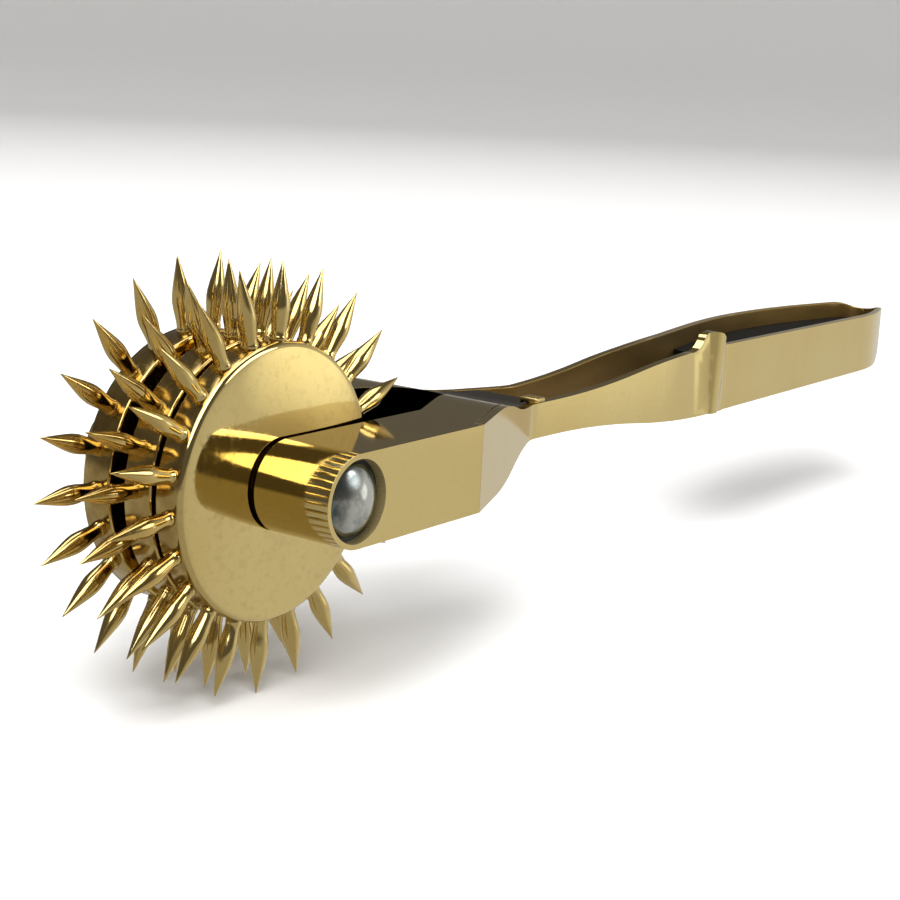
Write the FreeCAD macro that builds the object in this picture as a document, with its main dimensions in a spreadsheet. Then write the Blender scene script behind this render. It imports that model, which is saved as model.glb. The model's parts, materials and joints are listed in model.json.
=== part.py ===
"""Spiked three-wheel roller: a forked handle with three free-turning rows of pins on one axle.

Millimetres. X runs along the handle from the wheels to the closed end, Y along the axle, Z up. Every piece is
drawn about the middle of the axle and then placed, so that the origin lies under the middle of the whole
object, level with the lowest pin tips.
"""
import FreeCAD, Part
import Sketcher
import math
import os
import re

from FreeCAD import Rotation, Vector

SIZES = {
    # wheels
    "disc_radius": 13.0,
    "wheel_width": 3.3,
    "rim_bevel": 0.3,
    "near_gap": 0.55,
    "far_gap": 1.8,
    "bore_play": 0.05,
    "side_play": 0.05,
    "spacer_radius": 5.0,
    "washer_radius": 3.5,
    # pins
    "pin_count": 22,
    "tip_radius": 20.2,
    "pin_seat": 1.2,
    "pin_root_radius": 0.45,
    "collar_radius": 0.76,
    "collar_height": 0.35,
    "belly_radius": 0.9,
    "belly_share": 0.38,
    "near_row_angle": 21.7,
    "middle_row_angle": 30.0,
    "far_row_angle": 1.0,
    # axle, its head and its nut
    "shank_radius": 2.2,
    "head_radius": 3.35,
    "head_rim": 0.35,
    "dome_height": 1.2,
    "head_hole_radius": 3.85,
    "head_hole_depth": 1.05,
    "barrel_radius": 3.1,
    "barrel_length": 5.0,
    "barrel_floor": 1.0,
    # fork
    "arm_outer": 15.0,
    "arm_inner": 6.5,
    "arm_half_height": 4.35,
    "corner_at": 18.8,
    "throat_at": 20.0,
    "throat_end": 35.0,
    "tail_reach": 2.5,
    "tail_gap": 0.5,
    "cheek_fall_at": 25.7,
    # handle strips
    "strip_thick": 1.0,
    "neck_at": 41.5,
    "neck_half_height": 1.95,
    "neck_near": 5.7,
    "neck_far": 2.8,
    "neck_lag": 7.5,
    "neck_straight": 4.0,
    "bend_radius": 5.0,
    "leaf_at": 70.0,
    "leaf_widest_at": 112.0,
    "leaf_far": 7.6,
    "near_straight_end": 127.5,
    "grip_at": 82.0,
    "grip_half_height": 4.25,
    "grip_near": 6.35,
    "end_half_height": 4.0,
    "handle_end": 142.4,
    "end_top_corner": 2.2,
    "end_foot_corner": 5.6,
    # raised horn where the near strip ends
    "lap_at": 85.0,
    "horn_at": 75.8,
    "horn_rise": 1.8,
    "rib_top_radius": 2.7,
    "rib_foot_radius": 2.2,
    "rib_rise": 0.95,
    # filler and neck tabs
    "filler_slant": 7.0,
    "filler_top": 1.7,
    "filler_thick": 5.0,
    "tab_length": 1.8,
    "tab_rise": 0.55,
}

CORNER_STRETCH = 1.6
STACK = "(3 * wheel_width + near_gap + far_gap)"
MIDDLE_X = "((handle_end - tip_radius) / 2)"
CHEEK_DROP = "(arm_half_height - neck_half_height)"
CHEEK_RUN = "(neck_at - cheek_fall_at)"
CHEEK_ARC = f"(({CHEEK_RUN} ^ 2 + {CHEEK_DROP} ^ 2) / (4 * {CHEEK_DROP}))"
DOME_ARC = "((head_radius ^ 2 + dome_height ^ 2) / (2 * dome_height))"
NEAR_SLOPE = "((arm_outer - neck_near) / (neck_at - corner_at))"
FAR_SLOPE = "((arm_outer - neck_far) / (neck_at + neck_lag - corner_at))"
TAIL_END = "(neck_at + tail_reach)"
FAR_AT_TAIL = f"(arm_outer - {FAR_SLOPE} * ({TAIL_END} - corner_at))"
HEAD_SEAT = "(arm_outer - head_hole_depth)"
DOME_EDGE = f"({HEAD_SEAT} + head_rim)"
ROWS = {
    "near": f"(wheel_width / 2 - {STACK} / 2)",
    "middle": f"(wheel_width * 1.5 + near_gap - {STACK} / 2)",
    "far": f"({STACK} / 2 - wheel_width / 2)",
}

doc = FreeCAD.newDocument("spiked_roller")


def make_sheet():
    """The driving dimensions, one to a row: its name in column A and its number in column B."""
    page = doc.addObject("Spreadsheet::Sheet", "sizes")
    for row, (name, number) in enumerate(SIZES.items(), start=1):
        page.set(f"A{row}", name)
        page.set(f"B{row}", str(number))
        page.setAlias(f"B{row}", name)
    doc.recompute()
    return page


sheet = make_sheet()


def bound(text):
    """The expression with every size name pointing at the sheet."""
    return re.sub(r"[a-z_]+", lambda word: f"sizes.{word[0]}" if word[0] in SIZES else word[0], text)


def number(text):
    """The expression's value now."""
    return float(sheet.evalExpression(re.sub(r"sizes\.", "", bound(text))))


# ---------------------------------------------------------------- helpers for bodies and sketches


def place(piece, along="0", across="0", turn="0"):
    """Move a piece from the axle's middle to the shared frame, with its own shift in Y and turn about Y."""
    piece.Placement = FreeCAD.Placement(Vector(), Rotation(Vector(0, 1, 0), 0))
    piece.setExpression("Placement.Base.x", bound(f"{along} - {MIDDLE_X}"))
    piece.setExpression("Placement.Base.y", bound(across))
    piece.setExpression("Placement.Base.z", bound("tip_radius"))
    if turn != "0":
        piece.Placement = FreeCAD.Placement(Vector(), Rotation(Vector(0, 1, 0), 1))
        piece.setExpression("Placement.Rotation.Angle", bound(turn))


def new_body(label):
    body = doc.addObject("PartDesign::Body", label)
    body.Label = label
    return body


def origin_part(body, role):
    return next(part for part in body.Origin.OriginFeatures if part.Role == role)


def new_sketch(body, name, role):
    """A sketch on one of the body's own origin planes."""
    sketch = body.newObject("Sketcher::SketchObject", name)
    sketch.AttachmentSupport = [(origin_part(body, role), "")]
    sketch.MapMode = "FlatFace"
    return sketch


def bind(sketch, constraint, text):
    index = sketch.addConstraint(constraint)
    sketch.setExpression(f"Constraints[{index}]", bound(text))


def arc_middle(start, end, radius, side):
    """The middle point of a minor arc that bulges to the left (1) or right (-1) of start to end.

    One that bulges to the right turns anticlockwise, which is the way a sketch keeps its arcs.
    """
    chord = end - start
    sagitta = radius - math.sqrt(max(radius**2 - (chord.Length / 2) ** 2, 0.0))
    left = Vector(-chord.y, chord.x, 0).normalize()
    return (start + end) * 0.5 + left * (side * sagitta)


def outline(sketch, corners):
    """A closed outline. A corner is (x, y), or (x, y, radius, side) where an arc leaves it; all in words."""
    points = [Vector(number(corner[0]), number(corner[1]), 0) for corner in corners]
    ends = []
    for index, corner in enumerate(corners):
        start = points[index]
        end = points[(index + 1) % len(points)]
        if len(corner) == 2:
            geo = sketch.addGeometry(Part.LineSegment(start, end))
            ends.append((geo, 1, 2))
            continue
        middle = arc_middle(start, end, number(corner[2]), corner[3])
        forward = corner[3] < 0
        shape = Part.Arc(start, middle, end) if forward else Part.Arc(end, middle, start)
        ends.append((sketch.addGeometry(shape), 1, 2) if forward else (sketch.addGeometry(shape), 2, 1))
    for index, (geo, first, last) in enumerate(ends):
        after, after_first, _ = ends[(index + 1) % len(ends)]
        sketch.addConstraint(Sketcher.Constraint("Coincident", geo, last, after, after_first))
    for (geo, first, _), corner, point in zip(ends, corners, points):
        bind(sketch, Sketcher.Constraint("DistanceX", geo, first, point.x), corner[0])
        bind(sketch, Sketcher.Constraint("DistanceY", geo, first, point.y), corner[1])
        if len(corner) == 4:
            bind(sketch, Sketcher.Constraint("Radius", geo, number(corner[2])), corner[2])


def ring(sketch, *radii):
    """Concentric circles about the sketch's origin."""
    for radius in radii:
        geo = sketch.addGeometry(Part.Circle(Vector(), Vector(0, 0, 1), number(radius)))
        sketch.addConstraint(Sketcher.Constraint("Coincident", geo, 3, -1, 1))
        bind(sketch, Sketcher.Constraint("Radius", geo, number(radius)), radius)


def pad(body, sketch, length):
    """A pad to both sides of its sketch."""
    feature = body.newObject("PartDesign::Pad", f"{sketch.Name}_pad")
    feature.Profile = sketch
    feature.Midplane = True
    feature.setExpression("Length", bound(length))
    sketch.Visibility = False
    return feature


def cut_through(body, sketch, length, both=True, reverse=False):
    """A pocket that must take material away."""
    doc.recompute()
    before = body.Shape.Volume
    feature = body.newObject("PartDesign::Pocket", f"{sketch.Name}_cut")
    feature.Profile = sketch
    feature.Midplane = both
    feature.Reversed = reverse
    feature.setExpression("Length", bound(length))
    doc.recompute()
    if body.Shape.Volume > before - 1e-3:
        raise RuntimeError(f"{sketch.Name} cuts nothing")
    return feature


def spin(body, sketch, axis):
    """A full turn of a sketch about its own horizontal or vertical axis."""
    feature = body.newObject("PartDesign::Revolution", f"{sketch.Name}_turn")
    feature.Profile = sketch
    feature.ReferenceAxis = (sketch, [axis])
    feature.Angle = 360
    return feature


def repeat_about_axle(body, feature):
    """The feature once for every pin, evenly about the axle."""
    pattern = body.newObject("PartDesign::PolarPattern", f"{body.Name}_pattern")
    pattern.Originals = [feature]
    pattern.Axis = (origin_part(body, "Y_Axis"), [""])
    pattern.Angle = 360
    pattern.setExpression("Occurrences", bound("pin_count"))
    body.Tip = pattern
    return pattern


# ---------------------------------------------------------------- wheels and pins


def wheel(row):
    """A short drum with a bevelled rim, a running bore and one radial hole for each pin."""
    body = new_body(f"wheel_{row}")
    half = "wheel_width / 2"
    profile = new_sketch(body, f"wheel_{row}_profile", "XY_Plane")
    bore = "shank_radius + bore_play"
    rim = "disc_radius - rim_bevel"
    corners = [(bore, f"-{half}"), (rim, f"-{half}"), ("disc_radius", f"rim_bevel - {half}")]
    corners += [("disc_radius", f"{half} - rim_bevel"), (rim, half), (bore, half)]
    outline(profile, corners)
    spin(body, profile, "V_Axis")
    hole = new_sketch(body, f"wheel_{row}_hole", "YZ_Plane")
    hole.setExpression("AttachmentOffset.Base.z", bound("disc_radius - pin_seat"))
    ring(hole, "pin_root_radius")
    drilled = cut_through(body, hole, "pin_seat * 2", both=False, reverse=True)
    repeat_about_axle(body, drilled)
    place(body, across=ROWS[row], turn=f"-{row}_row_angle")


def pins(row):
    """One row of spindle-shaped pins: a shaft in its hole, a collar on the rim, a belly and a sharp tip."""
    body = new_body(f"pins_{row}")
    profile = new_sketch(body, f"pins_{row}_profile", "XZ_Plane")
    seat = "disc_radius - pin_seat"
    collar_end = "disc_radius + collar_height"
    belly_at = "disc_radius + (tip_radius - disc_radius) * belly_share"
    waist = "collar_radius * 0.9"
    corners = [(seat, "0"), (seat, "pin_root_radius"), ("disc_radius", "pin_root_radius")]
    corners += [("disc_radius", "collar_radius"), (collar_end, "collar_radius")]
    corners += [(collar_end, waist, "6", 1), (belly_at, "belly_radius", "45", 1), ("tip_radius", "0")]
    outline(profile, corners)
    turned = spin(body, profile, "H_Axis")
    repeat_about_axle(body, turned)
    place(body, across=ROWS[row], turn=f"-{row}_row_angle")


# ---------------------------------------------------------------- axle, nut, spacers


def axle():
    """Shank across both arms, with a domed head in the near arm's counterbore."""
    body = new_body("axle")
    profile = new_sketch(body, "axle_profile", "XY_Plane")
    shank_end = f"{HEAD_SEAT} - barrel_floor"
    corners = [("0", f"-{DOME_EDGE} - dome_height", DOME_ARC, -1), ("head_radius", f"-{DOME_EDGE}")]
    corners += [("head_radius", f"-{HEAD_SEAT}"), ("shank_radius", f"-{HEAD_SEAT}")]
    corners += [("shank_radius", shank_end), ("0", shank_end)]
    outline(profile, corners)
    spin(body, profile, "V_Axis")
    place(body)


def nut():
    """Domed nut in the far arm, with a barrel that takes the shank's end."""
    body = new_body("axle_nut")
    profile = new_sketch(body, "nut_profile", "XY_Plane")
    bore_end = f"{HEAD_SEAT} - barrel_floor"
    barrel_end = f"{HEAD_SEAT} - barrel_length"
    corners = [("0", bore_end), ("shank_radius", bore_end), ("shank_radius", barrel_end)]
    corners += [("barrel_radius", barrel_end), ("barrel_radius", HEAD_SEAT), ("head_radius", HEAD_SEAT)]
    corners += [("head_radius", DOME_EDGE, DOME_ARC, 1), ("0", f"{DOME_EDGE} + dome_height")]
    outline(profile, corners)
    spin(body, profile, "V_Axis")
    place(body)


def spacer(label, low, high, radius="spacer_radius"):
    """A flat ring on the shank between two heights along the axle."""
    body = new_body(label)
    profile = new_sketch(body, f"{label}_ring", "XZ_Plane")
    ring(profile, radius, "shank_radius")
    pad(body, profile, f"{high} - {low}")
    place(body, across=f"({high} + {low}) / 2")


def spacers():
    near = f"({ROWS['near']} + wheel_width / 2)"
    far = f"({ROWS['far']} - wheel_width / 2)"
    middle = ROWS["middle"]
    outer = f"({STACK} / 2 + side_play)"
    spacer("washer_near", "(0 - arm_inner)", f"(0 - {outer})", "washer_radius")
    spacer("spacer_thin", f"({near} + side_play)", f"({middle} - wheel_width / 2 - side_play)")
    spacer("spacer_thick", f"({middle} + wheel_width / 2 + side_play)", f"({far} - side_play)")
    spacer("washer_far", outer, "arm_inner", "washer_radius")


# ---------------------------------------------------------------- fork


def fork_side(sketch):
    """Side view: round front about the axle, level arms, then an S down to the neck."""
    high = "arm_half_height"
    low = "neck_half_height"
    halfway = ("(cheek_fall_at + neck_at) / 2", "(arm_half_height + neck_half_height) / 2")
    corners = [("0", high), ("cheek_fall_at", high, CHEEK_ARC, 1), (*halfway, CHEEK_ARC, -1)]
    corners += [("neck_at", low), (TAIL_END, low), (TAIL_END, f"-{low}")]
    corners += [("neck_at", f"-{low}", CHEEK_ARC, -1), (halfway[0], f"-{halfway[1]}", CHEEK_ARC, 1)]
    corners += [("cheek_fall_at", f"-{high}"), ("0", f"-{high}", high, 1), (f"-{high}", "0", high, 1)]
    outline(sketch, corners)


def fork_flank(sketch, side, slope, bend, face):
    """Plan view of what is cut off beside the tail, leaving a step that the strip butts against."""
    skin = f"(strip_thick * (1 + {slope} ^ 2) ^ 0.5)"
    outside = f"{side} * (arm_outer + 1)"
    step = f"{side} * (arm_outer - {skin})"
    tail = f"{side} * ({face} - {skin} - tail_gap)"
    beyond = f"{TAIL_END} + 1"
    corners = [("corner_at", outside), ("corner_at", step), (bend, tail), (beyond, tail), (beyond, outside)]
    outline(sketch, corners)


def fork():
    """Two square-sided arms with round front ends, joined by a V-shaped tail."""
    body = new_body("fork")
    side = new_sketch(body, "fork_side", "XZ_Plane")
    fork_side(side)
    pad(body, side, "arm_outer * 2")
    throat = new_sketch(body, "fork_throat", "XY_Plane")
    front = "-arm_half_height - 1"
    corners = [(front, "-arm_inner"), ("throat_at", "-arm_inner"), ("throat_end", "0")]
    corners += [("throat_at", "arm_inner"), (front, "arm_inner")]
    outline(throat, corners)
    cut_through(body, throat, "arm_half_height * 4")
    near_side = ("near", "-1", NEAR_SLOPE, "neck_at", "neck_near")
    far_side = ("far", "1", FAR_SLOPE, TAIL_END, FAR_AT_TAIL)
    for name, *values in (near_side, far_side):
        flank = new_sketch(body, f"fork_flank_{name}", "XY_Plane")
        fork_flank(flank, *values)
        cut_through(body, flank, "arm_half_height * 4")
    shank = new_sketch(body, "fork_shank_hole", "XZ_Plane")
    ring(shank, "shank_radius")
    cut_through(body, shank, "arm_outer * 4")
    barrel = new_sketch(body, "fork_barrel_hole", "XZ_Plane")
    ring(barrel, "barrel_radius")
    cut_through(body, barrel, "arm_outer * 2", both=False, reverse=False)
    for name, sign in (("near", 1), ("far", -1)):
        seat = new_sketch(body, f"fork_seat_{name}", "XZ_Plane")
        seat.setExpression("AttachmentOffset.Base.z", bound(f"{sign} * {HEAD_SEAT}"))
        ring(seat, "head_hole_radius")
        cut_through(body, seat, "head_hole_depth * 2", both=False, reverse=sign > 0)
    place(body)


# ---------------------------------------------------------------- handle strips


def s_curve(x, x1, h1, x2, h2):
    """Height at x on two equal arcs, level at both ends, from (x1, h1) to (x2, h2)."""
    run = x2 - x1
    drop = h1 - h2
    radius = (run**2 + drop**2) / (4 * abs(drop))
    sign = math.copysign(1.0, drop)
    if x < (x1 + x2) / 2:
        return h1 - sign * (radius - math.sqrt(radius**2 - (x - x1) ** 2))
    return h2 + sign * (radius - math.sqrt(radius**2 - (x2 - x) ** 2))


class Strips:
    """Numbers read from the sheet for the sheet-metal strips and the core between them."""

    def __init__(self):
        for name in SIZES:
            setattr(self, name, number(name))
        self.neck_end = self.neck_at + self.neck_straight
        self.neck_far_at = self.neck_at + self.neck_lag
        self.near_slope = (self.arm_outer - self.neck_near) / (self.neck_at - self.corner_at)
        self.far_slope = (self.arm_outer - self.neck_far) / (self.neck_far_at - self.corner_at)

    def half_height(self, x):
        if x <= self.cheek_fall_at:
            return self.arm_half_height
        if x < self.neck_at:
            ends = (self.cheek_fall_at, self.arm_half_height, self.neck_at, self.neck_half_height)
            return s_curve(x, *ends)
        if x <= self.neck_end:
            return self.neck_half_height
        if x < self.grip_at:
            ends = (self.neck_end, self.neck_half_height, self.grip_at, self.grip_half_height)
            return s_curve(x, *ends)
        share = (x - self.grip_at) / (self.handle_end - self.grip_at)
        return self.grip_half_height + share * (self.end_half_height - self.grip_half_height)

    def edge(self, start, end):
        """Top edge as lines and arcs from start to end."""
        breaks = [self.cheek_fall_at, (self.cheek_fall_at + self.neck_at) / 2, self.neck_at, self.neck_end]
        breaks += [(self.neck_end + self.grip_at) / 2, self.grip_at]
        stops = [start] + [x for x in breaks if start < x < end] + [end]
        pieces = []
        for a, b in zip(stops, stops[1:]):
            first, middle, last = (Vector(x, 0, self.half_height(x)) for x in (a, (a + b) / 2, b))
            straight = abs(first.z + last.z - 2 * middle.z) < 1e-6
            pieces.append(line(first, last) if straight else arc(first, middle, last))
        return pieces

    def near_path(self, end):
        """Outer face of the near side in plan, from before the fork's corner to the given place."""
        lead = 2 * self.strip_thick
        start = Vector(self.corner_at - lead, -self.arm_outer - lead * self.near_slope, 0)
        neck = Vector(self.neck_at, -self.neck_near, 0)
        wide = Vector(self.grip_at - 10, -self.grip_near, 0)
        return bent(start, neck, wide, self.bend_radius) + [line(wide, Vector(end, -self.grip_near, 0))]

    def leaf_path(self, inset):
        """Plan of the grip's loop from the slim far side round the nose to the near side."""
        far = self.leaf_far - inset
        near = self.grip_near - inset
        tip = self.handle_end - inset
        nose = tip - self.near_straight_end
        back, down = Vector(-1, 0, 0), Vector(0, -1, 0)
        bow = [Vector(self.leaf_widest_at, far, 0), Vector(self.leaf_widest_at + 14, 0.87 * far, 0)]
        bow += [Vector(tip - 0.36 * nose, 0.58 * far, 0), Vector(tip, 0.03 * far, 0)]
        turn = [bow[-1], Vector(tip - 0.29 * nose, -0.69 * near, 0), Vector(self.near_straight_end, -near, 0)]
        slim = self.neck_far - inset
        swell = [Vector(self.leaf_at, slim, 0), bow[0]]
        return [smooth(swell, -back, -back), smooth(bow, -back, down), smooth(turn, down, back)]

    def far_cheek(self, inset):
        """Far side in plan from before the fork's corner to where the leaf begins to swell."""
        lead = 2 * self.strip_thick
        skew = inset * math.sqrt(1 + self.far_slope**2)
        start = Vector(self.corner_at - lead, self.arm_outer + lead * self.far_slope - skew, 0)
        bend = Vector(self.neck_far_at - (skew - inset) / self.far_slope, self.neck_far - inset, 0)
        return bent(start, bend, Vector(self.leaf_at, self.neck_far - inset, 0), self.bend_radius + inset)


def mirrored(edges):
    return [edge.mirror(Vector(), Vector(0, 0, 1)) for edge in edges]


def line(a, b):
    return Part.LineSegment(a, b).toShape()


def arc(a, middle, b):
    return Part.Arc(a, middle, b).toShape()


def bent(start, corner, end, radius):
    """Two straight runs joined by an arc where they would meet in a corner."""
    back = (start - corner).normalize()
    on = (end - corner).normalize()
    half = back.getAngle(on) / 2
    reach = radius / math.tan(half)
    centre = corner + (back + on).normalize() * (radius / math.sin(half))
    first, last = corner + back * reach, corner + on * reach
    middle = centre + (corner - centre).normalize() * radius
    return [line(start, first), arc(first, middle, last), line(last, end)]


def smooth(points, start, end):
    """A smooth curve through the points that sets off along start and arrives along end."""
    curve = Part.BSplineCurve()
    curve.interpolate(Points=points, InitialTangent=start, FinalTangent=end)
    return curve.toShape()


def side_prism(edges, reach):
    """The side outline, given as edges in the XZ plane, carried across the whole width."""
    face = Part.Face(Part.Wire(Part.__sortEdges__(edges)))
    face.translate(Vector(0, -reach, 0))
    return face.extrude(Vector(0, 2 * reach, 0))


def plan_prism(edges, low, high):
    """The plan outline carried from one height to another."""
    face = Part.Face(Part.Wire(Part.__sortEdges__(edges)))
    face.translate(Vector(0, 0, low))
    return face.extrude(Vector(0, 0, high - low))


def ends_of(edges):
    return edges[0].firstVertex().Point, edges[-1].lastVertex().Point


def horn_edges(s):
    """Rise from the strip's top edge to the horn, its round crest and its slope to the strip's end."""
    foot = Vector(s.horn_at, 0, s.half_height(s.horn_at))
    top = foot.z + s.horn_rise
    length = s.lap_at - s.horn_at
    hollow = Vector(foot.x + 0.24 * length, 0, foot.z + 0.3 * s.horn_rise)
    rise = Vector(foot.x + 0.36 * length, 0, top)
    crest = Vector(foot.x + 0.5 * length, 0, top + 0.35)
    shoulder = Vector(foot.x + 0.7 * length, 0, top + 0.1)
    end = Vector(s.lap_at, 0, s.half_height(s.lap_at))
    return [arc(foot, hollow, rise), arc(rise, crest, shoulder), line(shoulder, end)]


def horn_rib(s):
    """Upright rib on the outer face that widens from nothing at the foot to the horn's full width."""
    foot = s.half_height(s.lap_at)
    high = foot + s.horn_rise + 1
    centre = s.lap_at - s.rib_top_radius
    inner = s.grip_near - s.strip_thick
    cone = Part.makeCone(s.rib_foot_radius, s.rib_top_radius, foot + high, Vector(centre, 0, -foot))
    cone.translate(Vector(0, s.rib_top_radius - s.rib_rise - s.grip_near, 0))
    keep = Part.makeBox(20, 20, 40, Vector(centre - 10, -inner - 20, -20))
    return cone.common(keep)


def near_strip(s):
    """From the fork's near corner along the cheek and the neck to the horn."""
    reach = 2 * s.arm_half_height
    path = Part.Wire(s.near_path(s.lap_at + 1))
    band = path.makeOffset2D(-s.strip_thick, 2, True, True)
    band.translate(Vector(0, 0, -reach))
    band = band.extrude(Vector(0, 0, 2 * reach))
    top = s.edge(s.corner_at, s.horn_at) + horn_edges(s)
    bottom = mirrored(s.edge(s.corner_at, s.lap_at))
    front = line(Vector(s.corner_at, 0, -s.arm_half_height), Vector(s.corner_at, 0, s.arm_half_height))
    back_half = s.half_height(s.lap_at)
    back = line(Vector(s.lap_at, 0, -back_half), Vector(s.lap_at, 0, back_half))
    side = side_prism(top + bottom + [front, back], 2 * s.arm_outer)
    return band.fuse(horn_rib(s)).common(side).removeSplitter()


def round_corner(s, high, radius, sign):
    """A long quarter turn at the handle's end: above with sign 1, below with sign -1."""
    middle = radius * (1 - math.sqrt(0.5))
    start = Vector(s.handle_end - CORNER_STRETCH * radius, 0, sign * high)
    end = Vector(s.handle_end, 0, sign * (high - radius))
    through = Vector(s.handle_end - CORNER_STRETCH * middle, 0, sign * (high - middle))
    return start, smooth([start, through, end], Vector(1, 0, 0), Vector(0, 0, -sign)), end


def strip_side(s):
    """Side view of the long strip, with the closed end rounded more below than above."""
    top_at = s.handle_end - CORNER_STRETCH * s.end_top_corner
    foot_at = s.handle_end - CORNER_STRETCH * s.end_foot_corner
    _, top_turn, top_end = round_corner(s, s.half_height(top_at), s.end_top_corner, 1)
    _, foot_turn, foot_end = round_corner(s, s.half_height(foot_at), s.end_foot_corner, -1)
    front = line(Vector(s.corner_at, 0, -s.arm_half_height), Vector(s.corner_at, 0, s.arm_half_height))
    edges = s.edge(s.corner_at, top_at) + mirrored(s.edge(s.corner_at, foot_at))
    edges += [top_turn, foot_turn, line(top_end, foot_end), front]
    return side_prism(edges, 2 * s.arm_outer)


def grip_strip(s):
    """From the fork's far corner along the far side, round the nose and back to the horn."""
    reach = 2 * s.arm_half_height
    outer = s.far_cheek(0) + s.leaf_path(0)
    inner = s.far_cheek(s.strip_thick) + s.leaf_path(s.strip_thick)
    sides = []
    for path, near in ((outer, s.grip_near), (inner, s.grip_near - s.strip_thick)):
        turn = Vector(s.near_straight_end, -near, 0)
        sides.append(path + [line(turn, Vector(s.lap_at, -near, 0))])
    (outer_start, outer_end), (inner_start, inner_end) = (ends_of(side) for side in sides)
    caps = [line(outer_start, inner_start), line(outer_end, inner_end)]
    band = plan_prism(sides[0] + sides[1] + caps, -reach, reach)
    return band.common(strip_side(s)).removeSplitter()


def filler(s):
    """Dark core between the grip's plates, below their top edges, cut off on a slant at the front."""
    high = s.filler_top
    low = high - s.filler_thick
    inset = s.strip_thick
    near = s.grip_near - inset
    turn = Vector(s.near_straight_end, -near, 0)
    front = Vector(s.lap_at, -near, 0)
    path = s.leaf_path(inset)
    core = plan_prism(path + [line(turn, front), line(front, path[0].firstVertex().Point)], low, high)
    slant = [Vector(s.lap_at, -near - 1, 0), Vector(s.handle_end + 1, -near - 1, 0)]
    slant += [Vector(s.handle_end + 1, s.leaf_far, 0), Vector(s.lap_at + s.filler_slant, s.leaf_far, 0)]
    keep = plan_prism([line(a, b) for a, b in zip(slant, slant[1:] + slant[:1])], low, high)
    return core.common(keep).common(strip_side(s)).removeSplitter()


def sheet_piece(label, shape):
    piece = doc.addObject("Part::Feature", label)
    piece.Label = label
    piece.Shape = shape
    place(piece)


# ---------------------------------------------------------------- neck tabs


def neck_tab(label, outer, side):
    """Small welded tab across the gap between a strip and the fork's tail: near above, far below."""
    tab = doc.addObject("Part::Box", label)
    tab.Label = label
    width = "(strip_thick + tail_gap + 0.8)"
    tab.setExpression("Length", bound("tab_length"))
    tab.setExpression("Width", bound(width))
    tab.setExpression("Height", bound("tab_rise"))
    near = side < 0
    place(
        tab,
        along=f"{TAIL_END} - tab_length",
        across=f"(0 - {outer} - 0.05)" if near else f"({outer} + 0.05 - {width})",
    )
    level = "neck_half_height" if near else "(0 - neck_half_height - tab_rise)"
    tab.setExpression("Placement.Base.z", bound(f"tip_radius + {level}"))


# ---------------------------------------------------------------- build and write

strips = Strips()


def build():
    for row in ROWS:
        wheel(row)
        pins(row)
    axle()
    nut()
    spacers()
    fork()
    sheet_piece("near_strip", near_strip(strips))
    sheet_piece("grip_strip", grip_strip(strips))
    sheet_piece("grip_filler", filler(strips))
    neck_tab("neck_tab_near", "neck_near", -1)
    neck_tab("neck_tab_far", FAR_AT_TAIL, 1)
    doc.recompute()


def check_and_write():
    for thing in doc.Objects:
        if {"Invalid", "Error"} & set(thing.State):
            raise RuntimeError(f"{thing.Label} failed: {thing.State}")
    kinds = ("PartDesign::Body", "Part::Feature", "Part::Box")
    nodes = [thing for thing in doc.Objects if thing.TypeId in kinds]
    os.makedirs("parts", exist_ok=True)
    for node in nodes:
        shape = node.Shape
        if shape.isNull() or not shape.isValid() or not shape.Solids:
            raise RuntimeError(f"{node.Label} has no valid solid")
        shape.exportStep(f"parts/{node.Label}.step")
        box = shape.BoundBox
        extent = f"x {box.XMin:.2f} {box.XMax:.2f} y {box.YMin:.2f} {box.YMax:.2f}"
        extent += f" z {box.ZMin:.2f} {box.ZMax:.2f}"
        print(f"{node.Label}: {len(shape.Solids)} solids, {shape.Volume:.1f} mm3, {extent}")


build()
check_and_write()
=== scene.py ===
"""Looks for a spiked three-wheel roller: a polished gold-coloured handle, pinned wheels and a silver axle.

Metres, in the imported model's frame: X along the handle from the wheels to the closed end, Y along the axle,
Z up from the lowest pin tips.
"""

import json
import math

import bmesh
import bpy
from bpy.props import FloatProperty, FloatVectorProperty, IntProperty, PointerProperty
from mathutils import Matrix, Quaternion, Vector


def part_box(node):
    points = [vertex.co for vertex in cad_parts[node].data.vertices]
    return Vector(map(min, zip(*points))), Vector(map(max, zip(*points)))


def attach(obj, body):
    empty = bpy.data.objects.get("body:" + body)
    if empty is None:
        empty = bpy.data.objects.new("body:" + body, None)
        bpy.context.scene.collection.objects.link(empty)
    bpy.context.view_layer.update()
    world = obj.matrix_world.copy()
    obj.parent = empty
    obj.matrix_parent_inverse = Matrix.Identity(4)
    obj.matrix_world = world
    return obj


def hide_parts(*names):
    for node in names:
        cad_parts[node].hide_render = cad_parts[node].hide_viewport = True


bl_info = {
    "name": "Spiked Roller",
    "version": (1, 0, 0),
    "blender": (4, 5, 0),
    "location": "View3D > Sidebar > Roller",
    "description": "Builds the visible pieces of a spiked three-wheel roller around its fixed frame",
    "category": "Add Mesh",
}

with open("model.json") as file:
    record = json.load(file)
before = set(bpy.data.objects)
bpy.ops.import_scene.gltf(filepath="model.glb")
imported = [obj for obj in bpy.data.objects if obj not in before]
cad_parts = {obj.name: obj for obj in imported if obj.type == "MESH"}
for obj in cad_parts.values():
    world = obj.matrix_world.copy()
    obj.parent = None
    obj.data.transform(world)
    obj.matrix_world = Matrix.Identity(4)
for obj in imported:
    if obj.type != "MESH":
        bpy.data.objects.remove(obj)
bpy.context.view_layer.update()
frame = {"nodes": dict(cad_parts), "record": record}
MM = 0.001
ROWS = ("near", "middle", "far")

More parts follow.
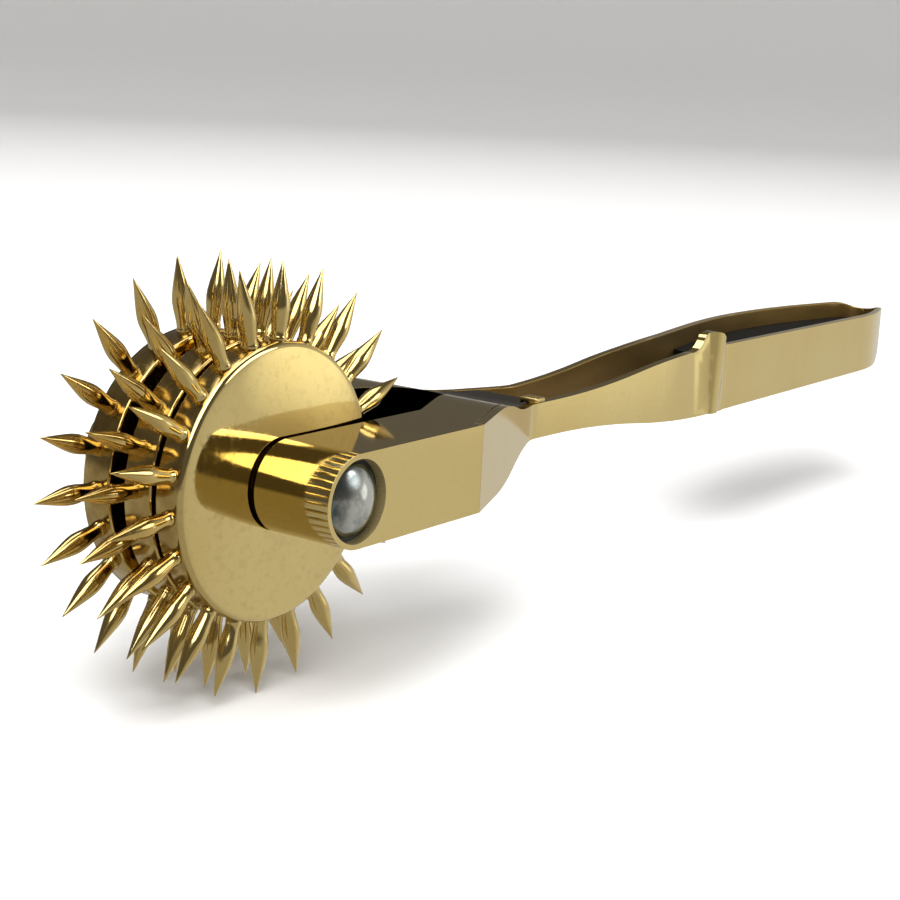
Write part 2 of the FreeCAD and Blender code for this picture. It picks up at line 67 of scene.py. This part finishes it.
MERGE_WITHIN = 0.002 * MM
FLAT_WITHIN = math.radians(0.6)
ROUNDED_FROM = math.radians(28)
SHARP_FROM = math.radians(50)
DOME_EDGE = 0.12 * MM
DRUM_STEPS = 176
FLOOR_STEPS = 96

# Shares of the drum's radius where the crowned face has a ring, and the square of the crown's reach.
CROWN_STOPS = (0.35, 0.45, 0.55, 0.65, 0.75, 0.85, 0.92)
CROWN_SPREAD = 0.38

# A pin's swelling: share of its height above the rim, then share of its largest radius.
PIN_SWELL = ((0.24, 0.88), (0.32, 0.96), (0.4, 1.0), (0.48, 0.95), (0.58, 0.81), (0.72, 0.56), (0.87, 0.27))

# The grip's closed end, where the strip turns round the core.
NOSE_LENGTH = 12 * MM

# Name, place, size across and power.
LIGHTS = (
    ("Key", (-0.55, -0.35, 0.75), 0.9, 9),
    ("Top", (0.05, 0.1, 0.95), 1.1, 9),
    ("Fill", (0.5, -0.8, 0.45), 0.5, 2.5),
)


def middle_of(node):
    low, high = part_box(node)
    return (low + high) / 2


AXLE_AT = middle_of("axle")
AXLE_AT.y = 0


# ---------------------------------------------------------------- sizes and colours


def length(name, description, default, low=0.0):
    unit = {"subtype": "DISTANCE", "unit": "LENGTH"}
    return FloatProperty(name=name, description=description, default=default, min=low, **unit)


def colour(name, description, default):
    span = {"min": 0, "max": 1}
    return FloatVectorProperty(name=name, description=description, default=default, subtype="COLOR", **span)


class RollerSizes(bpy.types.PropertyGroup):
    fork_edge: length("Fork edge", "Width of the rounded edge on the fork", 0.28 * MM)
    strip_edge: length("Strip edge", "Width of the rounded edge on the sheet strips", 0.2 * MM)
    drum_edge: length("Drum edge", "Width of the rounded edge on a wheel's rim", 0.22 * MM)
    disc_crown: length("Disc crown", "How far the near disc's face falls from its middle to its rim", 0.35 * MM)
    pin_root: length("Pin root", "Radius of the collar where a pin leaves its wheel", 0.76 * MM)
    pin_neck: length("Pin neck", "Radius just above the collar", 0.69 * MM)
    pin_belly: length("Pin belly", "Largest radius of a pin", 0.9 * MM)
    pin_point: length("Pin point", "Radius of the blunted tip", 0.035 * MM)
    pin_count: IntProperty(name="Pins", description="Pins in one wheel", default=22, min=3)
    pin_sides: IntProperty(name="Pin sides", description="Faces round a pin", default=28, min=8)


class RollerColours(bpy.types.PropertyGroup):
    gold: colour("Gold", "Polished plate where it is clean", (0.66, 0.525, 0.225))
    deep_gold: colour("Deep gold", "Plate in its clouded patches and beside the creases", (0.55, 0.37, 0.105))
    silver: colour("Silver", "Domed head and nut", (0.50, 0.50, 0.46))
    # Tarnish in clouds, plus painted shade towards the dome's edge.
    tarnish_and_edge_shade: colour("Tarnish and edge shade", "Darker film on the silver", (0.05, 0.085, 0.095))
    # Painted shade: brown for the drums' rims between the pins, where shade falls among them.
    pin_gap_shade: colour("Pin gap shade", "Brown film on the drums' rims", (0.36, 0.235, 0.075))
    # Painted shade: near-black on the throat's walls, for the deep shadow between the fork's arms.
    throat: colour("Throat", "Near-black film in the fork's throat", (0.03, 0.022, 0.012))
    # Painted shade: brown for the strips' faces inside the grip's slot, where the deep slot is dark.
    inside: colour("Inside", "Brown unpolished inner faces of the sheet strips", (0.20, 0.125, 0.035))
    # Painted shade: near-black for the counterbores round the axle head, where the gap lies in shadow.
    recess_shade: colour("Recess shade", "Dark residue in the counterbores and between the wheels", (0.012, 0.011, 0.008))
    # Painted shade: the near-black core stands in for the deep shadow in the grip's slot.
    core: colour("Core", "Black core between the grip's plates", (0.004, 0.004, 0.003))
    floor: colour("Floor", "Studio floor and wall", (0.92, 0.92, 0.92))


def sizes():
    return bpy.context.scene.roller_sizes


def colours():
    return bpy.context.scene.roller_colours


# ---------------------------------------------------------------- shader maths


class Level:
    """A number that changes over a surface, with arithmetic written as Math nodes."""

    def __init__(self, finish, socket):
        self.finish = finish
        self.socket = socket

    def math(self, operation, *others, clamp=False):
        values = [self.socket] + [other.socket if isinstance(other, Level) else other for other in others]
        settings = {"operation": operation, "use_clamp": clamp}
        return self.finish.level("ShaderNodeMath", settings, dict(enumerate(values)))

    def __add__(self, other):
        return self.math("ADD", other)

    def __sub__(self, other):
        return self.math("SUBTRACT", other)

    def __mul__(self, other):
        return self.math("MULTIPLY", other)

    def __rsub__(self, other):
        return (self * -1) + other

    def __pow__(self, other):
        return self.math("POWER", other)

    __radd__ = __add__
    __rmul__ = __mul__

    def between(self, low, high):
        """0 at low, 1 at high, held outside."""
        return self.math("MULTIPLY_ADD", 1 / (high - low), -low / (high - low), clamp=True)


class Nodes:
    """A node tree, whose patterns read one kind of coordinate."""

    def __init__(self, tree, coordinate):
        self.tree = tree
        self.place = self.node("ShaderNodeTexCoord", {}, {}).outputs[coordinate]

    def node(self, kind, settings, inputs):
        """A node of one kind: its settings first, then its sockets' links or values."""
        made = self.tree.nodes.new(kind)
        for name, value in settings.items():
            setattr(made, name, value)
        for name, value in inputs.items():
            if isinstance(value, Level):
                value = value.socket
            if isinstance(value, bpy.types.NodeSocket):
                self.tree.links.new(value, made.inputs[name])
            else:
                made.inputs[name].default_value = value
        return made

    def level(self, kind, settings, inputs, output=0):
        return Level(self, self.node(kind, settings, inputs).outputs[output])

    def noise(self, scale, detail=4.0, rough=0.55, stretch=None, shift=(0, 0, 0)):
        place = self.place
        if stretch or any(shift):
            inputs = {"Vector": place, "Scale": stretch or (1, 1, 1), "Location": shift}
            place = self.node("ShaderNodeMapping", {}, inputs).outputs["Vector"]
        inputs = {"Vector": place, "Scale": scale, "Detail": detail, "Roughness": rough}
        return self.level("ShaderNodeTexNoise", {}, inputs)

    def axes(self):
        outputs = self.node("ShaderNodeSeparateXYZ", {}, {"Vector": self.place}).outputs
        return [Level(self, output) for output in outputs]

    def mix(self, factor, first, second):
        inputs = {0: factor, 6: first, 7: second}
        return self.node("ShaderNodeMix", {"data_type": "RGBA"}, inputs).outputs[2]


class Finish(Nodes):
    """One material's node tree."""

    def __init__(self, name, **constants):
        self.material = bpy.data.materials.new(name)
        self.material.use_nodes = True
        super().__init__(self.material.node_tree, "Object")
        self.shader = next(node for node in self.tree.nodes if node.type == "BSDF_PRINCIPLED")
        for socket, value in constants.items():
            self.shader.inputs[socket.replace("_", " ")].default_value = value

    def feed(self, socket, value):
        value = value.socket if isinstance(value, Level) else value
        self.tree.links.new(value, self.shader.inputs[socket])

    def bump(self, height, distance, strength=1.0):
        inputs = {"Height": height, "Distance": distance, "Strength": strength}
        self.feed("Normal", self.node("ShaderNodeBump", {}, inputs).outputs["Normal"])


def rgba(values):
    return (*values, 1.0)


def axle_distance(finish):
    """Distance from the axle's line."""
    x, _, z = finish.axes()
    across = (x - AXLE_AT.x) ** 2
    up = (z - AXLE_AT.z) ** 2
    return (across + up).math("SQRT")


def gold_plate(name, rough, cloud, speckle, darkening=None, recess_shade=None):
    """Polished plate: broad clouding, fine speckle and hairline wear, with an optional tinted painted shade and
    an optional near-black painted shade.
    """
    finish = Finish(name, Metallic=1.0)
    tone = colours()
    broad = finish.noise(70, 3).between(0.35, 0.72)
    fine = finish.noise(1400, 3, 0.6).between(0.5, 0.78)
    hair = finish.noise(260, 5, 0.7, stretch=(0.12, 1, 1)).between(0.55, 0.75)
    base = finish.mix(broad * cloud, rgba(tone.gold), rgba(tone.deep_gold))
    base = finish.mix(fine * speckle, base, rgba([part * 0.55 for part in tone.gold]))
    gloss = broad * (0.35 * rough) + fine * (0.4 * speckle) + hair * 0.05 + rough
    # Painted shade: a tinted darkening, near-black in the throat and brown between the pins.
    if darkening is not None:
        tint, mask = darkening(finish)
        base = finish.mix(mask, base, rgba(tint))
        gloss = gloss + mask * 0.12
    # Painted shade: near-black in the counterbores, rougher and not metal there.
    if recess_shade is not None:
        mask = recess_shade(finish)
        base = finish.mix(mask, base, rgba(tone.recess_shade))
        gloss = gloss + mask * 0.4
        finish.feed("Metallic", 1 - mask)
    finish.feed("Base Color", base)
    finish.feed("Roughness", gloss)
    finish.bump(hair * 0.5 + fine * 0.6 + broad, 0.006 * MM, 0.35)
    return finish.material


# Painted shade: the fork goes dark within half a millimetre of the axle head's rim, in the counterbore's gap.
def shade_in_counterbore(finish):
    low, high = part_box("axle")
    radius = (high.x - low.x) / 2
    return 1 - axle_distance(finish).between(radius + 0.47 * MM, radius + 0.53 * MM)


def shade_between_pins(finish):
    """Painted shade, brown, on a drum's rim between the pins, lighter in places."""
    low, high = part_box("wheel_near")
    radius = (high.x - low.x) / 2
    rim = axle_distance(finish).between(radius - 0.12 * MM, radius - 0.02 * MM)
    return colours().pin_gap_shade, rim * (finish.noise(420, 3, 0.6).between(0.3, 0.62) * 0.6 + 0.3)


def shade_in_throat(finish):
    """Painted shade, near-black, on the throat's walls, between the arms and below their top faces."""
    x, y, z = finish.axes()
    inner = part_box("washer_far")[1].y
    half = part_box("fork")[1].z - AXLE_AT.z
    between_arms = 1 - y.math("ABSOLUTE").between(inner + 0.05 * MM, inner + 0.15 * MM)
    below = 1 - (z - AXLE_AT.z).math("ABSOLUTE").between(half - 0.5 * MM, half - 0.2 * MM)
    behind = x.between(AXLE_AT.x + 8 * MM, AXLE_AT.x + 14 * MM)
    return colours().throat, between_arms * below * behind


def silver_plate(name):
    finish = Finish(name, Metallic=1.0)
    tone = colours()
    low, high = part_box("axle")
    radius = (high.x - low.x) / 2
    clouds = finish.noise(420, 4, 0.6).between(0.42, 0.6)
    # Painted shade: the dome darkens towards its edge; the clouds are tarnish.
    rim = axle_distance(finish).between(radius * 0.62, radius * 1.02)
    darkening = (clouds * 0.6 + rim * 0.5).math("MINIMUM", 1.0)
    finish.feed("Base Color", finish.mix(darkening, rgba(tone.silver), rgba(tone.tarnish_and_edge_shade)))
    finish.feed("Roughness", clouds * 0.16 + 0.1)
    finish.bump(finish.noise(900, 3, 0.5) + clouds * 0.5, 0.02 * MM, 0.4)
    return finish.material


def slot_shade_finish(name):
    """The strips' inner faces: brown painted shade, unpolished, with streaks along the handle."""
    finish = Finish(name, Metallic=0.85)
    streak = finish.noise(160, 4, 0.6, stretch=(0.2, 1, 1)).between(0.35, 0.7)
    tone = colours().inside
    finish.feed("Base Color", finish.mix(streak, rgba(tone), rgba([part * 1.5 for part in tone])))
    finish.feed("Roughness", streak * 0.12 + 0.34)
    return finish.material


def dull_steel(name):
    finish = Finish(name, Metallic=1.0)
    stain = finish.noise(300, 4, 0.6).between(0.4, 0.7)
    finish.feed("Base Color", finish.mix(stain, (0.22, 0.19, 0.14, 1), (0.05, 0.045, 0.035, 1)))
    finish.feed("Roughness", stain * 0.2 + 0.35)
    return finish.material


# Painted shade: near-black for the deep shadow in the grip's slot; the dust is its own.
def slot_shadow_core(name):
    finish = Finish(name, Specular_IOR_Level=0.1)
    dust = finish.noise(900, 4, 0.65).between(0.55, 0.8)
    finish.feed("Base Color", finish.mix(dust, rgba(colours().core), (0.012, 0.011, 0.009, 1)))
    finish.feed("Roughness", dust * 0.15 + 0.7)
    finish.bump(finish.noise(1500, 3, 0.6), 0.03 * MM, 0.3)
    return finish.material


# ---------------------------------------------------------------- making pieces


def add_piece(name, bm, node, material, edge=0.0):
    """The mesh as a piece that stands for a node and rides on its body, its edges rounded or left sharp."""
    for seam in bm.edges:
        seam.smooth = edge > 0 or seam.calc_face_angle() < SHARP_FROM
    mesh = bpy.data.meshes.new(name)
    bm.to_mesh(mesh)
    bm.free()
    mesh.shade_smooth()
    if "custom_normal" in mesh.attributes:
        mesh.attributes.remove(mesh.attributes["custom_normal"])
    mesh.materials.append(material)
    piece = bpy.data.objects.new(name, mesh)
    bpy.context.scene.collection.objects.link(piece)
    if edge:
        bevel = piece.modifiers.new("Rounded edges", "BEVEL")
        bevel.width = edge
        bevel.segments = 3
        bevel.limit_method = "ANGLE"
        bevel.angle_limit = ROUNDED_FROM
        bevel.miter_outer = "MITER_ARC"
        normals = piece.modifiers.new("Even shading", "WEIGHTED_NORMAL")
        normals.weight = 80
    body = next(name for name, nodes in frame["record"]["behaviour"]["bodies"].items() if node in nodes)
    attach(piece, body)
    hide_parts(node)
    return piece


def merged_copy(node, whole_flats=True):
    """A node's mesh as one closed surface, with its flat faces whole or left as triangles."""
    bm = bmesh.new()
    bm.from_mesh(frame["nodes"][node].data)
    bmesh.ops.remove_doubles(bm, verts=bm.verts, dist=MERGE_WITHIN)
    if whole_flats:
        bmesh.ops.dissolve_limit(bm, angle_limit=FLAT_WITHIN, verts=bm.verts, edges=bm.edges)
    return bm


def turned(profile, axis, centre, steps):
    """A profile in the plane of the axis and Z, spun a full turn."""
    bm = bmesh.new()
    verts = [bm.verts.new(point) for point in profile]
    for first, second in zip(verts, verts[1:]):
        bm.edges.new((first, second))
    geom = bm.verts[:] + bm.edges[:]
    bmesh.ops.spin(bm, geom=geom, cent=centre, axis=axis, angle=math.tau, steps=steps, use_merge=True)
    bmesh.ops.remove_doubles(bm, verts=bm.verts, dist=0.001 * MM)
    bmesh.ops.recalc_face_normals(bm, faces=bm.faces)
    return bm


class Maker(bpy.types.Operator):
    """Common ground of the operators."""

    bl_options = {"REGISTER", "UNDO"}

    def execute(self, context):
        self.make()
        return {"FINISHED"}


class ROLLER_OT_fork(Maker):
    """Make the fork with rounded edges and painted shade in its counterbores and throat"""

    bl_idname = "roller.fork"
    bl_label = "Fork"

    def make(self):
        # Painted shade in the throat and in the counterbores round the axle.
        plate = gold_plate("Fork plate", 0.06, 0.3, 0.1, darkening=shade_in_throat, recess_shade=shade_in_counterbore)
        add_piece("fork_body", merged_copy("fork"), "fork", plate, sizes().fork_edge)


class ROLLER_OT_strips(Maker):
    """Make the two sheet strips of the handle and the tabs that hold them at the neck"""

    bl_idname = "roller.strips"
    bl_label = "Strips"

    def make(self):
        plate = gold_plate("Strip plate", 0.08, 0.35, 0.1)
        # Painted shade: the faces inside the slot get the brown second material.
        inside = slot_shade_finish("Strip inside")
        # The near strip keeps its sharp edges: rounded ones fold over each other beside the rib.
        for node, edge in (("near_strip", 0.0), ("grip_strip", sizes().strip_edge)):
            sheet = merged_copy(node, whole_flats=False)
            self.mark_inside(sheet)
            piece = add_piece(f"{node}_sheet", sheet, node, plate, edge)
            piece.data.materials.append(inside)
        weld = gold_plate("Weld plate", 0.25, 0.9, 0.6)
        for node in ("neck_tab_near", "neck_tab_far"):
            add_piece(f"{node}_weld", merged_copy(node), node, weld, sizes().strip_edge)

    def mark_inside(self, sheet):
        """The second material, brown painted shade, on the upright faces that look into the grip's slot."""
        sheet.normal_update()
        low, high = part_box("grip_filler")
        for face in sheet.faces:
            middle = face.calc_center_median()
            in_nose = middle.x > high.x - NOSE_LENGTH
            into = Vector(((low.x + high.x) / 2 - middle.x if in_nose else 0.0, -middle.y, 0))
            if abs(face.normal.z) < 0.5 and face.normal.dot(into) > 0.25 * into.length:
                face.material_index = 1


class ROLLER_OT_core(Maker):
    """Make the black core between the grip's plates, near-black as painted shade for the slot's deep shadow"""

    bl_idname = "roller.core"
    bl_label = "Core"

    def make(self):
        add_piece("grip_core", merged_copy("grip_filler"), "grip_filler", slot_shadow_core("Black core"))


class ROLLER_OT_wheels(Maker):
    """Make the three drums and their rows of pins"""

    bl_idname = "roller.wheels"
    bl_label = "Wheels"

    def make(self):
        # Painted shade on the rims between the pins.
        drum = gold_plate("Drum plate", 0.05, 0.3, 0.3, darkening=shade_between_pins)
        pin = gold_plate("Pin plate", 0.1, 0.8, 0.2)
        for row in ROWS:
            add_piece(f"drum_{row}", self.drum(f"wheel_{row}"), f"wheel_{row}", drum)
            add_piece(f"pin_row_{row}", self.pins(f"wheel_{row}", f"pins_{row}"), f"pins_{row}", pin)

    def drum(self, node):
        """A short drum with rounded rims. The near one's outer face is crowned."""
        low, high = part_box(node)
        size = sizes()
        edge = size.drum_edge
        radius = (high.x - low.x) / 2
        bore = 0.45 * (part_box("spacer_thin")[1].x - AXLE_AT.x)
        face = 2.6 * edge if node == "wheel_near" else edge
        crown = size.disc_crown if node == "wheel_near" else 0.0
        brim = low.y + crown
        steps = [(bore, low.y)]
        for part in CROWN_STOPS:
            steps.append((radius * part, low.y + crown * (part - CROWN_STOPS[0]) ** 2 / CROWN_SPREAD))
        steps += [(radius - face, brim), (radius - 0.62 * face, brim + 0.07 * face)]
        steps += [(radius - 0.3 * face, brim + 0.3 * face), (radius - 0.07 * face, brim + 0.62 * face)]
        steps += [(radius, brim + face), (radius, high.y - edge), (radius - 0.3 * edge, high.y - 0.3 * edge)]
        steps += [(radius - edge, high.y), (bore, high.y), (bore, low.y)]
        profile = [Vector((AXLE_AT.x, y, AXLE_AT.z + r)) for r, y in steps]
        return turned(profile, (0, 1, 0), AXLE_AT, DRUM_STEPS)

    def pins(self, wheel, node):
        """One spindle, turned about its own line, then copied round the axle."""
        size = sizes()
        low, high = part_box(wheel)
        rim = (high.x - low.x) / 2
        tip = self.tip_distance(node)
        reach = tip - rim
        steps = [(rim - 0.4 * MM, 0.8 * size.pin_root), (rim - 0.05 * MM, size.pin_root)]
        steps += [(rim + 0.28 * MM, size.pin_root), (rim + 0.36 * MM, 0.96 * size.pin_root)]
        steps += [(rim + 0.5 * MM, size.pin_neck), (rim + 0.14 * reach, 1.02 * size.pin_neck)]
        steps += [(rim + along * reach, wide * size.pin_belly) for along, wide in PIN_SWELL]
        steps += [(tip - 0.04 * MM, size.pin_point), (tip, 0.0)]
        across = middle_of(node).y
        profile = [Vector((AXLE_AT.x + r, across, AXLE_AT.z + d)) for d, r in [(steps[0][0], 0.0)] + steps]
        spindle = turned(profile, (0, 0, 1), (AXLE_AT.x, across, 0), size.pin_sides)
        turn = Matrix.Rotation(self.first_angle(node), 3, "Y")
        bmesh.ops.rotate(spindle, verts=spindle.verts, cent=AXLE_AT, matrix=turn)
        template = spindle.verts[:] + spindle.edges[:] + spindle.faces[:]
        for index in range(1, size.pin_count):
            copy = bmesh.ops.duplicate(spindle, geom=template)["geom"]
            verts = [part for part in copy if isinstance(part, bmesh.types.BMVert)]
            turn = Matrix.Rotation(math.tau * index / size.pin_count, 3, "Y")
            bmesh.ops.rotate(spindle, verts=verts, cent=AXLE_AT, matrix=turn)
        return spindle

    def tip_distance(self, node):
        """How far the node's farthest point lies from the axle's line."""
        points = (vert.co for vert in frame["nodes"][node].data.vertices)
        return max(math.hypot(point.x - AXLE_AT.x, point.z - AXLE_AT.z) for point in points)

    def first_angle(self, node):
        """Angle about the axle, from straight up, of one of the node's tips."""
        points = [vert.co for vert in frame["nodes"][node].data.vertices]
        tip = max(points, key=lambda p: math.hypot(p.x - AXLE_AT.x, p.z - AXLE_AT.z))
        return math.atan2(tip.x - AXLE_AT.x, tip.z - AXLE_AT.z)


class ROLLER_OT_axle(Maker):
    """Make the axle's domed head and the domed nut, and finish the rings between the wheels"""

    bl_idname = "roller.axle"
    bl_label = "Axle"

    def make(self):
        plate = silver_plate("Silver plate")
        for node in ("axle", "axle_nut"):
            add_piece(f"{node}_domed", merged_copy(node), node, plate, DOME_EDGE)
        steel = dull_steel("Dull steel")
        for node in ("washer_near", "spacer_thin", "spacer_thick", "washer_far"):
            mesh = frame["nodes"][node].data
            mesh.materials.clear()
            mesh.materials.append(steel)


# ---------------------------------------------------------------- stage


class ROLLER_OT_stage(Maker):
    """Make the pale floor and wall, the soft lights and the camera"""

    bl_idname = "roller.stage"
    bl_label = "Stage"

    def make(self):
        self.floor()
        for light in LIGHTS:
            self.light(*light)
        self.camera()
        self.surroundings()
        bpy.context.scene.view_settings.view_transform = "Standard"

    def floor(self):
        """A wide floor that curves up into a wall all round."""
        steps = [(0.0, 0.0), (1.1, 0.0), (1.4, 0.04), (1.62, 0.16), (1.76, 0.38), (1.8, 0.7), (1.8, 1.1)]
        bm = turned([Vector((r, 0, z)) for r, z in steps], (0, 0, 1), (0, 0, 0), FLOOR_STEPS)
        mesh = bpy.data.meshes.new("studio_floor")
        bm.to_mesh(mesh)
        bm.free()
        mesh.shade_smooth()
        finish = Finish("Pale floor", Roughness=0.9)
        grain = finish.noise(3, 2)
        pale = colours().floor
        finish.feed("Base Color", finish.mix(grain, rgba(pale), rgba([part * 0.985 for part in pale])))
        mesh.materials.append(finish.material)
        floor = bpy.data.objects.new("studio_floor", mesh)
        floor.visible_glossy = False
        bpy.context.scene.collection.objects.link(floor)

    def surroundings(self):
        """What the polish reflects: a mid-grey ground, a darker room above, a bright wall and a window."""
        world = bpy.data.worlds.new("Studio")
        bpy.context.scene.world = world
        world.use_nodes = True
        room = Nodes(world.node_tree, "Generated")
        x, y, z = room.axes()
        ground = 1 - z.between(-0.1, 0.0)
        right = (x * 0.93 - y * 0.37 - z * 0.2).between(0.55, 0.95)
        window = (x * 0.8 - y * 0.59).between(0.972, 0.990)
        dark_room, grey_ground, bright_wall, daylight = (
            (0.13, 0.12, 0.105, 1), (0.48, 0.46, 0.42, 1), (0.76, 0.75, 0.72, 1), (1.7, 1.7, 1.6, 1)
        )
        shade = room.mix(ground, dark_room, grey_ground)
        shade = room.mix(right, shade, bright_wall)
        shade = room.mix(window, shade, daylight)
        world.node_tree.links.new(shade, world.node_tree.nodes["Background"].inputs["Color"])

    def light(self, name, place, size, power):
        data = bpy.data.lights.new(name, "AREA")
        data.shape = "DISK"
        data.size = size
        data.energy = power
        lamp = bpy.data.objects.new(name, data)
        lamp.location = place
        lamp.rotation_euler = (-Vector(place)).to_track_quat("-Z", "Y").to_euler()
        lamp.visible_camera = False
        bpy.context.scene.collection.objects.link(lamp)

    def camera(self):
        data = bpy.data.cameras.new("Camera")
        data.lens = 74.33
        data.sensor_width = 36
        data.shift_x = -0.0009
        data.shift_y = -0.0067
        data.clip_start = 0.01
        camera = bpy.data.objects.new("Camera", data)
        camera.location = (-0.18607, -0.11325, 0.06025)
        ahead = Vector((0.7970, 0.5656, -0.2118))
        roll = Quaternion((0, 0, 1), math.radians(2.915))
        camera.rotation_mode = "QUATERNION"
        camera.rotation_quaternion = ahead.to_track_quat("-Z", "Y") @ roll
        bpy.context.scene.collection.objects.link(camera)
        bpy.context.scene.camera = camera


# ---------------------------------------------------------------- panel and run


OPERATORS = (
    ROLLER_OT_fork,
    ROLLER_OT_strips,
    ROLLER_OT_core,
    ROLLER_OT_wheels,
    ROLLER_OT_axle,
    ROLLER_OT_stage,
)


class ROLLER_PT_panel(bpy.types.Panel):
    """Sizes, colours and one button for each group of pieces"""

    bl_label = "Spiked Roller"
    bl_idname = "ROLLER_PT_panel"
    bl_space_type = "VIEW_3D"
    bl_region_type = "UI"
    bl_category = "Roller"

    def draw(self, context):
        for operator in OPERATORS:
            self.layout.operator(operator.bl_idname)
        for group in (context.scene.roller_sizes, context.scene.roller_colours):
            for name in group.__annotations__:
                self.layout.prop(group, name)


CLASSES = (RollerSizes, RollerColours, *OPERATORS, ROLLER_PT_panel)


def register():
    for cls in CLASSES:
        bpy.utils.register_class(cls)
    bpy.types.Scene.roller_sizes = PointerProperty(type=RollerSizes)
    bpy.types.Scene.roller_colours = PointerProperty(type=RollerColours)


def unregister():
    del bpy.types.Scene.roller_colours
    del bpy.types.Scene.roller_sizes
    for cls in reversed(CLASSES):
        bpy.utils.unregister_class(cls)


def main():
    register()
    for operator in OPERATORS:
        group, name = operator.bl_idname.split(".")
        getattr(getattr(bpy.ops, group), name)()


if __name__ == "__main__":
    main()
